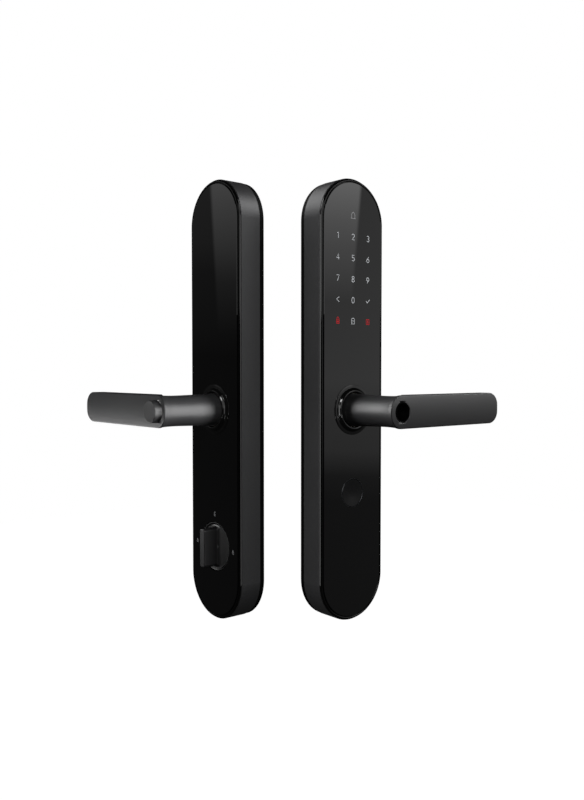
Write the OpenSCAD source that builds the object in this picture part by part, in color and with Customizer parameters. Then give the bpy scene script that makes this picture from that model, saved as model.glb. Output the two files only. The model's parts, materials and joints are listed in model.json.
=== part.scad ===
// Keypad smart lock: an outside keypad unit and an inside unit, each with a lever handle.
// Units are millimetres. The origin is on the outside handle's axis at the door's face,
// +Z is up, the outside unit faces -Y and the inside unit faces -X, a quarter turn from it.
// Each unit is drawn in its own frame: x across, y up from the handle's axis, z out of the door.

/* [Unit body] */
// Height of both units
plate_h = 360; // [300:1:440]
// Width of both units
plate_w = 70; // [58:0.5:86]
// Door face to the front of the glass
front_t = 25; // [22.5:0.1:30]
// Height of the rear cover, from the door face
cover_t = 4.7; // [4.2:0.1:6]
// Handle axis below the middle of the unit
axis_drop = 7; // [0:0.5:12]
// Wall of the metal band
band_wall = 2.5; // [1.5:0.1:3.5]
// Thickness of the front glass
glass_t = 2; // [1.5:0.1:2.5]
// Thickness of the steel fixing plate
plate_t = 2; // [1.5:0.1:2.4]

/* [Handle] */
// Door face to the front of the handle
handle_reach = 80.1; // [66:0.1:96]
// Height of the handle's bar
handle_h = 26; // [24:0.5:32]
// Handle axis to the tip
handle_len = 119; // [90:1:140]
// Thickness of the bar
bar_t = 13; // [10:0.5:16]
// Corner radius at the tip
tip_r = 9.5; // [4:0.5:11.5]
// Neck diameter at the unit
neck_d = 26.4; // [22:0.1:28]
// Neck diameter at the elbow
elbow_d = 24.4; // [22:0.1:26]
// Turn of the handle each way, in degrees
handle_turn = 45; // [20:1:50]

/* [Spindles and key] */
// Side of the square spindle
spindle_w = 8; // [6.5:0.1:9.6]
// How far spindles, tail and posts reach into the door
reach_in = 18; // [12:1:19]
// Outer diameter of the key cylinder
key_body_d = 16; // [14:0.5:18]
// Diameter of the key plug
plug_d = 12; // [10:0.5:12.5]
// Diameter of the safety button
button_d = 17.8; // [12:0.1:19]
// How far the safety button stands out
button_proud = 6; // [4:0.5:8]
// Travel of the safety button
button_travel = 3; // [1:0.5:3.5]

/* [Keypad and fingerprint reader] */
// Top of the unit to the bell key
bell_from_top = 29; // [26:0.5:34]
// Column spacing of the keys
key_dx = 16.8; // [12:0.1:19]
// Row spacing of the keys
key_dy = 17; // [14:0.1:18.5]
// Reader's centre below the handle axis
reader_drop = 68; // [56:1:80]
// Diameter of the ring around the reader
reader_d = 24; // [18:0.5:28]

/* [Thumb turn] */
// Thumb turn's centre below the handle axis
thumb_drop = 113; // [108:1:116]
// Diameter of its disc
thumb_d = 40; // [30:0.5:40]
// Height of the grip
grip_h = 33; // [24:0.5:33]
// Width of the grip
grip_w = 8.4; // [6:0.2:12]
// How far the grip stands out of the disc
grip_out = 13; // [8:0.5:16]
// Side of its square tail
tail_w = 5; // [4:0.1:6]

/* [Batteries] */
// Diameter of a cell
cell_d = 14.4; // [13.8:0.1:14.6]
// Length of a cell
cell_l = 50.5; // [44:0.1:50.5]

/* [Placing] */
// Inside unit's back to the outside handle axis, along -X
inside_x = 59; // [55:1:90]
// Inside handle axis to the door face of the outside unit, along +Y
inside_y = 51; // [51:1:90]

/* [Hidden] */
$fn = 96;

// Clearances
slip = 0.05;        // between pieces that are put together by hand
running = 0.08;     // round a turning or sliding piece, on the radius
gap = 0.15;         // between a panel and its pocket
eps = 0.01;         // overshoot of a cut

// Outline of a unit
half_w = plate_w / 2;
straight = plate_h - plate_w;
rise = axis_drop;
top_y = plate_h / 2 + rise;
bottom_y = rise - plate_h / 2;

// Layers of a unit, measured from the door face
gasket_t = 1.4;
cover_back = 0.6;
cover_floor = 2;
plate_back = cover_back + cover_floor;
plate_front = plate_back + plate_t;
band_front = front_t - 1.7;
bezel_front = front_t - 0.3;
glass_back = front_t - glass_t;
ledge_t = 1.4;
chassis_front = glass_back - 4.8;
chassis_t = 2.5;
board_t = 1.6;
spigot_t = 2.3;

// Insets from the outline
band_chamfer = 0.45;
bezel_slope = 1;
bezel_edge = band_chamfer + bezel_slope;
glass_inset = 3.35;
ledge_inset = glass_inset + 2.6;
cover_inset = 0.3;
spigot_wall = 2;
gasket_in = 2;
gasket_w = 5;
plate_inset = band_wall + spigot_wall + 0.3;
chassis_inset = band_wall + 0.25;

// Handle bearing and hub
neck_r = neck_d / 2;
bush_wall = 1.7;
bush_r = neck_r + running + bush_wall;
boss_r = bush_r + 2.4;
boss_back = chassis_front - 4.2;
bush_flange_t = 1.1;
ring_r = boss_r + 3.1;
ring_seat_r = boss_r + 0.5;
hub_back = plate_front + 0.4;
hub_t = 4.5;
hub_front = hub_back + hub_t;
hub_r = neck_r - 0.8;
cam_r = hub_r - 3.9;
clip_t = 1;
clip_depth = 1;
clip_r = neck_r + 1.6;
clip_back = boss_back - clip_t - 0.4;
hub_screw_r = 1;
hub_screw_at = (hub_r + cam_r) / 2 + 0.1;

// Stops of the handle
arm_w = 6;
arm_r = neck_r + 4.8;
stop_at = neck_r + 2.8;
stop_r = 2;
arm_t = 2.6;
stop_angle = handle_turn + asin(arm_w / 2 / stop_at) + asin(stop_r / stop_at) + 1;

// Clutch
pin_r = 1.1;
pin_t = hub_back + 3.1;
pin_in = cam_r - 2.5;
pin_out = hub_r + 0.3;
pusher_in = pin_out + 0.1;
pusher_wall = 2.7;
pusher_back = pin_t - 1.25;
pusher_front = pin_t + 0.6;
pusher_span = 55;
pusher_travel = 5.2;
nut_y = arm_r + 1.5;
nut_l = 6;
screw_t = pusher_front + 1.1;
motor_y = nut_y + nut_l + pusher_travel + 1.6;
motor_l = 16;
motor_r = min(4, chassis_front - chassis_t - 0.4 - screw_t);

// Return spring round the neck
spring_wire_r = 0.6;
spring_r = clip_r + spring_wire_r + 0.3;
spring_pitch = 1.3;
spring_turns = 2;
spring_back = boss_back - spring_turns * spring_pitch - spring_wire_r - 0.2;

// Posts, holes and screws
post_r = 4;
post_thread_r = 2.1;
post_depth = 16;
post_flange_r = 6;
post_flange_t = 1;
post_y = [rise + plate_h / 2 - 30, rise - plate_h / 2 + 30];
bolt_hole_r = 2.75;
screw_head_r = 2.6;
screw_head_t = 1.2;
screw_x = half_w - gasket_in - gasket_w - screw_head_r - 0.4;
screw_y = [for (s = [-1, 1], f = [0.47, 0.2]) rise + s * f * straight];
pillar_r = 3.4;
screw_r = 1.4;
spindle_hole_r = spindle_w / 2 * sqrt(2) + 1.2;
tail_hole_r = tail_w / 2 * sqrt(2) + 1;
port_w = 18;
port_h = 12;
port_y = -36;

// Key cylinder and button
key_back = handle_reach - 38.9;
key_recess = 10;
key_wall = 1;
slot_w = 2.2;
slot_h = 8.4;
slot_depth = 20;
tail_r = 2.5;
neck_bore_r = 4;
cam_socket_t = hub_front - 2.1;
cam_gap = 0.2;
button_bore_t = handle_reach - 17;
button_base = handle_reach - 9;
button_r = button_d / 2 - running;
rod_r = 3;
rod_end = hub_front + 1;
button_edge = 1.2;
button_coil_r = 5.5;
button_wire_r = 0.5;
coil_turns = 4;
head_chamfer = 0.6;

// Keypad
bell_y = top_y - bell_from_top;
key_y = [for (row = [0:5]) bell_y - row * key_dy];
board_w = 2 * key_dx + 14;
board_top = bell_y + 9;
board_bottom = key_y[5] - 9;
window_w = 7;
window_h = 8;

// Fingerprint reader and control board
reader_wall = 0.5;
reader_body_r = reader_d / 2 - reader_wall - 0.1;
lock_board_y = -reader_drop - reader_d / 2 - 32;
lock_board_h = 44;
lock_board_w = 38;

// Power socket in the lower end of the outside band
usb_w = 9;
usb_h = 3.2;
usb_l = 7;
usb_t = 12;

// Thumb turn
thumb_r = thumb_d / 2;
disc_front = front_t - 0.25;
disc_t = 1.6;
disc_back = disc_front - disc_t;
shaft_r = 4;
shaft_bush_wall = 2.4;
switch_w = 12;
switch_h = 6;
switch_t = 6;
cam_lobe = 2;

// Batteries
cell_gap = 0.8;
cell_x = (cell_d + cell_gap) / 2;
cell_end = 3.4;
tray_wall = 1.5;
tray_floor = 1.2;
tray_y = ring_r + 12.5;
tray_in_w = 2 * cell_d + cell_gap + 0.6;
tray_in_l = 2 * cell_l + 2 * cell_end;
tray_back = plate_front + 0.3;
cell_t = tray_back + tray_floor + cell_d / 2 + 0.1;
tray_front = max(cell_t + cell_d / 4, chassis_front);
contact_t = 0.5;
speaker_r = 10;
speaker_t = 4;

// Where the two units stand
module outside() rotate([90, 0, 0]) children();
module inside() translate([-inside_x, inside_y, 0]) rotate([90, 0, -90]) children();

// Outline with round ends, a given inset inside the unit's own outline
module pill(inset) {
    r = half_w - inset;
    translate([0, rise]) {
        square([2 * r, straight], center = true);
        for (s = [-1, 1]) translate([0, s * straight / 2]) circle(r = r);
    }
}

// Flat plate with the unit's outline
module pill_plate(inset, back, front) {
    translate([0, 0, back]) linear_extrude(front - back) pill(inset);
}

// A section swept once round the unit: x is the distance from the middle line, y the height
module round_rim() {
    for (side = [0, 180]) {
        translate([0, rise, 0]) rotate([0, 0, side]) {
            translate([0, straight / 2, 0]) rotate_extrude(angle = 180) children();
            rotate([90, 0, 0]) linear_extrude(straight, center = true) children();
        }
    }
}

// A rectangle in a rim section, by its insets and heights
module rim_block(outer, inner, back, front) {
    translate([half_w - inner, back]) square([inner - outer, front - back]);
}

// A drilled hole or round bar along z
module bar(r, back, front) translate([0, 0, back]) cylinder(r = r, h = front - back);

module at_screws() for (x = [-1, 1], y = screw_y) translate([x * screw_x, y, 0]) children();
module at_posts() for (y = post_y) translate([0, y, 0]) children();

// Helix of round wire round z: eight sides, so it is a mesh
module coil(r, wire_r, pitch, turns) {
    steps = round(turns * 20);
    sides = 8;
    rings = [for (i = [0:steps], k = [0:sides - 1])
        let (a = 360 * turns * i / steps, b = 360 * k / sides, out = r + wire_r * cos(b))
        [out * cos(a), out * sin(a), pitch * turns * i / steps + wire_r * sin(b)]];
    walls = [for (i = [0:steps - 1], k = [0:sides - 1])
        let (a = i * sides + k, b = i * sides + (k + 1) % sides)
        [a, a + sides, b + sides, b]];
    ends = [[for (k = [0:sides - 1]) k],
            [for (k = [sides - 1:-1:0]) steps * sides + k]];
    polyhedron(points = rings, faces = concat(walls, ends), convexity = 8);
}

// ---- pieces that both units share ----

module gasket() color([0.05, 0.05, 0.05]) round_rim()
    rim_block(gasket_in, gasket_in + gasket_w, 0, gasket_t);

module rear_cover(drop) color([0.04, 0.04, 0.045]) difference() {
    union() {
        pill_plate(cover_inset, cover_back, plate_back);
        round_rim() rim_block(cover_inset, band_wall + spigot_wall, plate_back - eps, cover_t);
        round_rim() rim_block(band_wall + gap, band_wall + spigot_wall, cover_t - eps, cover_t + spigot_t);
    }
    round_rim() rim_block(gasket_in - slip, gasket_in + gasket_w + slip, cover_back - eps, gasket_t);
    bar(spindle_hole_r + 2, 0, plate_back + eps);
    translate([0, drop, 0]) bar(tail_hole_r + 1, 0, plate_back + eps);
    at_posts() bar(post_r + 0.3, 0, plate_back + eps);
    at_screws() bar(screw_head_r + 0.3, 0, plate_back + eps);
    translate([-port_w / 2, port_y - port_h / 2, 0]) cube([port_w, port_h, plate_back + eps]);
}

module mount_plate(hole_r, drop, tail_hole) color([0.62, 0.63, 0.64]) {
    difference() {
        pill_plate(plate_inset, plate_back, plate_front);
        bar(spindle_hole_r, 0, plate_front + eps);
        at_posts() bar(hole_r, 0, plate_front + eps);
        at_screws() bar(screw_r + 0.1, 0, plate_front + eps);
        if (tail_hole) translate([0, drop, 0]) bar(tail_hole_r, 0, plate_front + eps);
        translate([-port_w / 2, port_y - port_h / 2, 0]) cube([port_w, port_h, plate_front + eps]);
    }
    for (s = [-1, 1]) rotate([0, 0, s * stop_angle]) translate([0, -stop_at, 0])
        bar(stop_r, plate_front - eps, hub_back + arm_t);
}

module band() color([0.2, 0.2, 0.205]) round_rim() polygon([
    [half_w - band_wall, cover_t], [half_w, cover_t],
    [half_w, band_front - band_chamfer], [half_w - band_chamfer, band_front],
    [half_w - band_wall, band_front]]);

module bezel() color([0.02, 0.02, 0.02]) round_rim() polygon([
    [half_w - band_chamfer - slip, band_front], [half_w - bezel_edge, bezel_front],
    [half_w - glass_inset + gap, bezel_front], [half_w - glass_inset + gap, glass_back],
    [half_w - ledge_inset, glass_back], [half_w - ledge_inset, glass_back - ledge_t],
    [half_w - band_wall - gap, glass_back - ledge_t], [half_w - band_wall - gap, band_front]]);

// Plate, neck boss and pillars that carry everything inside a unit
module chassis() {
    pill_plate(chassis_inset, chassis_front - chassis_t, chassis_front);
    bar(boss_r, boss_back, glass_back - bush_flange_t - 0.1);
    at_screws() bar(pillar_r, plate_front, chassis_front - chassis_t + eps);
}

module chassis_holes() {
    bar(bush_r + slip, boss_back - eps, glass_back);
    at_screws() bar(screw_r - 0.2, plate_front - eps, chassis_front - 1);
}

// Dished gloss ring that hides the hole round the neck
module handle_ring() color([0.015, 0.015, 0.015]) rotate_extrude() polygon([
    [neck_r + 0.7, glass_back], [ring_seat_r, glass_back], [ring_seat_r, front_t],
    [ring_r, front_t], [ring_r, front_t + 0.3],
    [boss_r, front_t + 1.3], [boss_r - 0.8, front_t + 2.4], [neck_r + 2.3, front_t + 3.1],
    [neck_r + 1.4, front_t + 3], [neck_r + 0.7, front_t + 2]]);

module neck_bush() color([0.8, 0.78, 0.7]) difference() {
    union() {
        bar(bush_r, boss_back, glass_back - 0.1);
        bar(boss_r, glass_back - bush_flange_t - 0.1, glass_back - 0.1);
    }
    bar(neck_r + running, boss_back - eps, glass_back);
}

module circlip() color([0.35, 0.35, 0.36]) difference() {
    bar(clip_r, clip_back, clip_back + clip_t);
    bar(neck_r - clip_depth + slip, clip_back - eps, clip_back + clip_t + eps);
    translate([0, -neck_r, clip_back]) cube([9, 12, 3 * clip_t], center = true);
}

module return_spring() color([0.7, 0.7, 0.72]) translate([0, 0, spring_back])
    coil(spring_r, spring_wire_r, spring_pitch, spring_turns);

module at_hub_screws() for (a = [30, 150, 270]) rotate([0, 0, a]) translate([hub_screw_at, 0, 0])
    children();

module hub_screws() color([0.6, 0.6, 0.62]) at_hub_screws() {
    bar(hub_screw_r, hub_back + 1, hub_front + 4);
    bar(hub_screw_r + 0.6, hub_back + 0.1, hub_back + 1.1);
}

// Hub ring with its stop arm
module hub() difference() {
    union() {
        bar(hub_r, hub_back, hub_front);
        translate([-arm_w / 2, -arm_r, hub_back]) cube([arm_w, arm_r - cam_r, arm_t]);
    }
    at_hub_screws() {
        bar(hub_screw_r + slip, hub_back - eps, hub_front + eps);
        bar(hub_screw_r + 0.7, hub_back - eps, hub_back + 1.1);
    }
}

module cover_screws() color([0.55, 0.55, 0.57]) at_screws() {
    bar(screw_head_r, plate_back - screw_head_t - 0.1, plate_back - 0.1);
    bar(screw_r - 0.25, plate_back - 0.1 - eps, plate_front + 7);
}

// Neck, head and bar of a handle pointing along +x
module handle_body() {
    bar_back = handle_reach - bar_t;
    mid = handle_len - tip_r;
    difference() {
        union() {
            bar(neck_r, hub_front, front_t + 3.2);
            translate([0, 0, front_t + 3.2 - eps])
                cylinder(r1 = neck_r, r2 = elbow_d / 2, h = bar_back - front_t - 3.2 + 2 * eps);
            bar(handle_h / 2, bar_back, handle_reach - head_chamfer);
            translate([0, 0, handle_reach - head_chamfer - eps])
                cylinder(r1 = handle_h / 2, r2 = handle_h / 2 - head_chamfer, h = head_chamfer + eps);
            translate([0, 0, bar_back]) linear_extrude(bar_t) {
                translate([0, -handle_h / 2 + head_chamfer]) square([mid, handle_h - 2 * head_chamfer]);
            }
            translate([0, 0, bar_back]) linear_extrude(bar_t - head_chamfer) {
                translate([0, -handle_h / 2]) square([mid, handle_h]);
                translate([mid - eps, tip_r - handle_h / 2]) square([tip_r + eps, handle_h - 2 * tip_r]);
                for (s = [-1, 1]) translate([mid, s * (handle_h / 2 - tip_r)]) circle(r = tip_r);
            }
        }
        // groove for the circlip
        difference() {
            bar(neck_r + 1, clip_back - slip, clip_back + clip_t + slip);
            bar(neck_r - clip_depth, clip_back - 1, clip_back + clip_t + 1);
        }
        at_hub_screws() bar(hub_screw_r + slip, hub_front - eps, hub_front + 4.5);
    }
}

// ---- outside unit ----

module outside_gasket() outside() gasket();
module outside_rear_cover() outside() rear_cover(0);
module outside_mount_plate() outside() mount_plate(post_r - 0.5 + slip, 0, false);

module outside_posts() color([0.7, 0.7, 0.71]) outside() at_posts() difference() {
    union() {
        bar(post_r, -reach_in, plate_back);
        bar(post_r - 0.5, plate_back - eps, plate_front + eps);
        bar(post_flange_r, plate_front, plate_front + post_flange_t);
    }
    bar(post_thread_r, -reach_in - eps, post_depth - reach_in);
}

module outside_band() outside() difference() {
    band();
    translate([0, bottom_y + band_wall / 2, usb_t])
        cube([usb_w + 0.3, band_wall + 2, usb_h + 0.3], center = true);
}

module outside_bezel() outside() bezel();

module outside_glass() color([0.03, 0.03, 0.035]) outside() difference() {
    pill_plate(glass_inset, glass_back, front_t);
    bar(ring_seat_r + gap, glass_back - eps, front_t + eps);
    translate([0, -reader_drop, 0]) bar(reader_d / 2 + slip, glass_back - eps, front_t + eps);
}

module outside_chassis() color([0.16, 0.16, 0.17]) outside() difference() {
    union() {
        chassis();
        translate([0, -reader_drop, 0])
            bar(reader_d / 2 + 2, chassis_front - eps, glass_back - 0.3);
    }
    chassis_holes();
    translate([0, -reader_drop, 0]) bar(reader_body_r + slip, chassis_front - 1, glass_back);
}

module outside_handle_ring() outside() handle_ring();
module outside_neck_bush() outside() neck_bush();

module keypad_board() color([0.05, 0.2, 0.12]) outside() intersection() {
    translate([-board_w / 2, board_bottom, chassis_front])
        cube([board_w, board_top - board_bottom, board_t]);
    pill_plate(chassis_inset, 0, front_t);
}

module at_keys() {
    translate([0, key_y[0], 0]) children();
    for (row = [1:5], col = [-1:1]) translate([col * key_dx, key_y[row], 0]) children();
}

module key_light_guide() color([0.9, 0.9, 0.88]) outside() difference() {
    intersection() {
        translate([-board_w / 2 + 1, board_bottom + 1, chassis_front + board_t])
            cube([board_w - 2, board_top - board_bottom - 2, glass_back - chassis_front - board_t - 0.1]);
        pill_plate(ledge_inset + gap, 0, front_t);
    }
    at_keys() translate([-window_w / 2, -window_h / 2, chassis_front + board_t - eps])
        cube([window_w, window_h, glass_back - chassis_front]);
}

module fingerprint_sensor() color([0.02, 0.02, 0.025]) outside() translate([0, -reader_drop, 0])
    bar(reader_body_r, chassis_front - 0.9, front_t - 0.15);

module fingerprint_ring() color([0.3, 0.3, 0.31]) outside() translate([0, -reader_drop, 0]) difference() {
    bar(reader_d / 2, glass_back, front_t);
    bar(reader_d / 2 - reader_wall, glass_back - eps, front_t + eps);
}

module lock_board() color([0.05, 0.2, 0.12]) outside()
    translate([-lock_board_w / 2, lock_board_y - lock_board_h / 2, chassis_front])
        cube([lock_board_w, lock_board_h, board_t]);

module clutch_motor() color([0.6, 0.6, 0.62]) outside() translate([0, 0, screw_t]) rotate([-90, 0, 0]) {
    bar(motor_r, motor_y, motor_y + motor_l);
    bar(0.9, nut_y - 1, motor_y + eps);
}

module outside_cover_screws() outside() cover_screws();

module power_port() color([0.75, 0.76, 0.78]) outside() translate([0, bottom_y, usb_t]) difference() {
    translate([-usb_w / 2, 0.3, -usb_h / 2]) cube([usb_w, usb_l, usb_h]);
    translate([-usb_w / 2 + 0.4, 0, -usb_h / 2 + 0.4]) cube([usb_w - 0.8, usb_l - 1, usb_h - 0.8]);
}

module outside_return_spring() outside() return_spring();

module outside_handle() color([0.22, 0.22, 0.225]) outside() difference() {
    handle_body();
    bar(key_body_d / 2 + slip, key_back, handle_reach + eps);
    bar(neck_bore_r, hub_front - eps, key_back + eps);
}

module outside_hub() color([0.66, 0.66, 0.67]) outside() difference() {
    hub();
    bar(cam_r + running, hub_back - eps, hub_front + eps);
    translate([0, 0, pin_t]) rotate([-90, 0, 0]) bar(pin_r + slip, cam_r - 1, hub_r + 1);
}

module outside_hub_screws() outside() hub_screws();
module outside_circlip() outside() circlip();

module key_cylinder() color([0.12, 0.12, 0.12]) outside() difference() {
    bar(key_body_d / 2, key_back, handle_reach);
    bar(key_body_d / 2 - key_wall, handle_reach - key_recess, handle_reach + eps);
    bar(plug_d / 2 + running, key_back + 1, handle_reach - key_recess + eps);
    bar(tail_r + 0.5, key_back - eps, key_back + 1 + eps);
}

module key_plug() color([0.2, 0.2, 0.2]) outside() difference() {
    bar(plug_d / 2, key_back + 1.2, handle_reach - key_recess - 0.2);
    translate([-slot_w / 2, -slot_h / 2, handle_reach - key_recess - slot_depth])
        cube([slot_w, slot_h, slot_depth]);
}

module key_tail() color([0.7, 0.65, 0.45]) outside() bar(tail_r, cam_socket_t + 0.6, key_back + 1.2);

module driven_cam() color([0.72, 0.68, 0.5]) outside() difference() {
    bar(cam_r, hub_back, hub_front - cam_gap);
    bar(tail_r + 0.2, cam_socket_t, hub_front);
    translate([0, 0, hub_back + 0.9]) cube([spindle_w + 2 * slip, spindle_w + 2 * slip, 2], center = true);
    translate([0, 0, pin_t]) rotate([-90, 0, 0]) bar(pin_r + 0.1, pin_in - 0.2, cam_r + 1);
}

module outside_spindle() color([0.55, 0.55, 0.57]) outside()
    translate([-spindle_w / 2, -spindle_w / 2, -reach_in])
        cube([spindle_w, spindle_w, reach_in + hub_back + 1.8]);

// Arc that keeps the pin pushed in at any turn of the handle, and the nut that moves it
module clutch_pusher() color([0.75, 0.72, 0.6]) outside() difference() {
    union() {
        translate([0, 0, pusher_back]) rotate([0, 0, 90 - pusher_span])
            rotate_extrude(angle = 2 * pusher_span)
                translate([pusher_in, 0]) square([pusher_wall, pusher_front - pusher_back]);
        translate([-2.5, pusher_in + 1, pusher_back])
            cube([5, nut_y - pusher_in, pusher_front - pusher_back]);
        translate([-3.5, nut_y, pusher_back]) cube([7, nut_l, screw_t + 2 - pusher_back]);
    }
    translate([0, 0, screw_t]) rotate([-90, 0, 0]) bar(0.9 + running, nut_y - 1, nut_y + nut_l + 1);
}

module clutch_pin() color([0.8, 0.8, 0.82]) outside() translate([0, 0, pin_t]) rotate([-90, 0, 0])
    bar(pin_r, pin_in, pin_out);

// ---- inside unit ----

module inside_gasket() inside() gasket();
module inside_rear_cover() inside() rear_cover(-thumb_drop);
module inside_mount_plate() inside() mount_plate(bolt_hole_r, -thumb_drop, true);
module inside_band() inside() band();
module inside_bezel() inside() bezel();

module inside_panel() color([0.02, 0.02, 0.022]) inside() difference() {
    pill_plate(glass_inset, glass_back, front_t);
    bar(ring_seat_r + gap, glass_back - eps, front_t + eps);
    translate([0, -thumb_drop, 0]) bar(thumb_r + 0.4, glass_back - eps, front_t + eps);
}

module inside_chassis() color([0.16, 0.16, 0.17]) inside() difference() {
    chassis();
    chassis_holes();
    translate([-tray_in_w / 2 - tray_wall - 0.2, tray_y - tray_wall - 0.2, plate_front])
        cube([tray_in_w + 2 * tray_wall + 0.4, tray_in_l + 2 * tray_wall + 0.4, front_t]);
    translate([0, -thumb_drop, 0])
        bar(shaft_r + running + shaft_bush_wall + slip, plate_front, front_t);
}

module inside_handle_ring() inside() handle_ring();
module inside_neck_bush() inside() neck_bush();

module battery_tray() color([0.1, 0.1, 0.1]) inside() difference() {
    translate([-tray_in_w / 2 - tray_wall, tray_y - tray_wall, tray_back])
        cube([tray_in_w + 2 * tray_wall, tray_in_l + 2 * tray_wall, tray_front - tray_back]);
    translate([-tray_in_w / 2, tray_y, tray_back + tray_floor])
        cube([tray_in_w, tray_in_l, front_t]);
}

module battery_cells() color([0.75, 0.75, 0.3]) inside() for (x = [-1, 1], n = [0, 1])
    translate([x * cell_x, tray_y + cell_end + n * cell_l, cell_t]) rotate([-90, 0, 0]) {
        bar(cell_d / 2, 0, cell_l - 1.3);
        bar(2.7, cell_l - 1.3 - eps, cell_l - 0.1);
    }

module battery_contacts() color([0.78, 0.76, 0.7]) inside() for (x = [-1, 1], end = [0, 1])
    translate([x * cell_x - 5, tray_y + end * (tray_in_l - contact_t), tray_back + tray_floor + 1])
        cube([10, contact_t, 11]);

module inside_board() color([0.05, 0.2, 0.12]) inside()
    translate([-lock_board_w / 2, -thumb_drop + thumb_r + 8, chassis_front])
        cube([lock_board_w, thumb_drop - thumb_r - ring_r - 16, board_t]);

module speaker() color([0.1, 0.1, 0.11]) inside()
    translate([0, bottom_y + glass_inset + speaker_r + 5, 0])
        bar(speaker_r, chassis_front, chassis_front + speaker_t);

module thumb_turn_bush() color([0.8, 0.78, 0.7]) inside() translate([0, -thumb_drop, 0]) difference() {
    bar(shaft_r + running + shaft_bush_wall, chassis_front - chassis_t, disc_back - 1);
    bar(shaft_r + running, chassis_front - chassis_t - eps, disc_back);
}

module position_switch() color([0.08, 0.08, 0.08]) inside()
    translate([-switch_w / 2, -thumb_drop + shaft_r + cam_lobe + 1.2, chassis_front - chassis_t - switch_t])
        cube([switch_w, switch_h, switch_t]);

module inside_cover_screws() inside() cover_screws();
module inside_return_spring() inside() return_spring();

module inside_handle() color([0.22, 0.22, 0.225]) inside() mirror([1, 0, 0]) difference() {
    handle_body();
    bar(button_d / 2, button_bore_t, handle_reach + eps);
    bar(rod_r + running, hub_front - eps, button_bore_t + eps);
}

module inside_hub() color([0.66, 0.66, 0.67]) inside() difference() {
    hub();
    translate([0, 0, hub_back + 0.9]) cube([spindle_w + 2 * slip, spindle_w + 2 * slip, 2], center = true);
    bar(rod_r + 0.5, rod_end - button_travel - 0.2, hub_front + eps);
}

module inside_hub_screws() inside() hub_screws();
module inside_circlip() inside() circlip();

module inside_spindle() color([0.55, 0.55, 0.57]) inside()
    translate([-spindle_w / 2, -spindle_w / 2, -reach_in])
        cube([spindle_w, spindle_w, reach_in + hub_back + 1.8]);

module safety_button() color([0.2, 0.2, 0.205]) inside() {
    bar(rod_r, rod_end, button_base + eps);
    bar(button_r, button_base, handle_reach + button_proud - button_edge);
    translate([0, 0, handle_reach + button_proud - button_edge - eps])
        cylinder(r1 = button_r, r2 = button_r - button_edge, h = button_edge);
}

module button_spring() color([0.8, 0.8, 0.82]) inside()
    translate([0, 0, button_bore_t + button_wire_r + 0.1])
        coil(button_coil_r, button_wire_r,
             (button_base - button_bore_t - 2 * button_wire_r - 0.2) / coil_turns, coil_turns);

module thumb_turn_disc() color([0.03, 0.03, 0.03]) inside() translate([0, -thumb_drop, 0]) difference() {
    bar(thumb_r, disc_back, disc_front);
    bar(shaft_r + slip, disc_back - eps, disc_front + eps);
}

module thumb_turn_grip() color([0.13, 0.13, 0.13]) inside() translate([0, -thumb_drop, 0])
    difference() {
        rotate([90, 0, 0]) linear_extrude(grip_h, center = true) polygon([
            [-grip_w / 2, disc_front], [grip_w / 2, disc_front],
            [grip_w / 2, disc_front + grip_out - 1], [grip_w / 2 - 1, disc_front + grip_out],
            [1 - grip_w / 2, disc_front + grip_out], [-grip_w / 2, disc_front + grip_out - 1]]);
        bar(shaft_r - 1 + slip, disc_front - eps, disc_front + 6);
    }

module thumb_turn_shaft() color([0.6, 0.6, 0.62]) inside() translate([0, -thumb_drop, 0]) {
    bar(shaft_r, plate_front + 0.6, disc_front);
    bar(shaft_r - 1, disc_front - eps, disc_front + 5.8);
    bar(shaft_r + cam_lobe, chassis_front - chassis_t - switch_t, chassis_front - chassis_t - 1);
    translate([-tail_w / 2, -tail_w / 2, -reach_in]) cube([tail_w, tail_w, reach_in + plate_front + 0.7]);
}

outside_gasket();
outside_rear_cover();
outside_mount_plate();
outside_posts();
outside_band();
outside_bezel();
outside_glass();
outside_chassis();
outside_handle_ring();
outside_neck_bush();
keypad_board();
key_light_guide();
fingerprint_sensor();
fingerprint_ring();
lock_board();
clutch_motor();
outside_cover_screws();
power_port();
outside_return_spring();
outside_handle();
outside_hub();
outside_hub_screws();
outside_circlip();
key_cylinder();
key_plug();
key_tail();
driven_cam();
outside_spindle();
clutch_pusher();
clutch_pin();
inside_gasket();
inside_rear_cover();
inside_mount_plate();
inside_band();
inside_bezel();
inside_panel();
inside_chassis();
inside_handle_ring();
inside_neck_bush();
battery_tray();
battery_cells();
battery_contacts();
inside_board();
speaker();
thumb_turn_bush();
position_switch();
inside_cover_screws();
inside_return_spring();
inside_handle();
inside_hub();
inside_hub_screws();
inside_circlip();
inside_spindle();
safety_button();
button_spring();
thumb_turn_disc();
thumb_turn_grip();
thumb_turn_shaft();
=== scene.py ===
# %% [markdown]
# # A keypad door lock
# The lock is two long units, one for each face of a door, and each has a lever handle. Every
# size and every moving joint is already in the CAD model, so this lesson only gives the lock
# its looks: softer shapes, real finishes, light, and a camera. The first step loads the CAD
# model as a fixed frame.

# %% Load the imported lock
import json
import math

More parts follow.
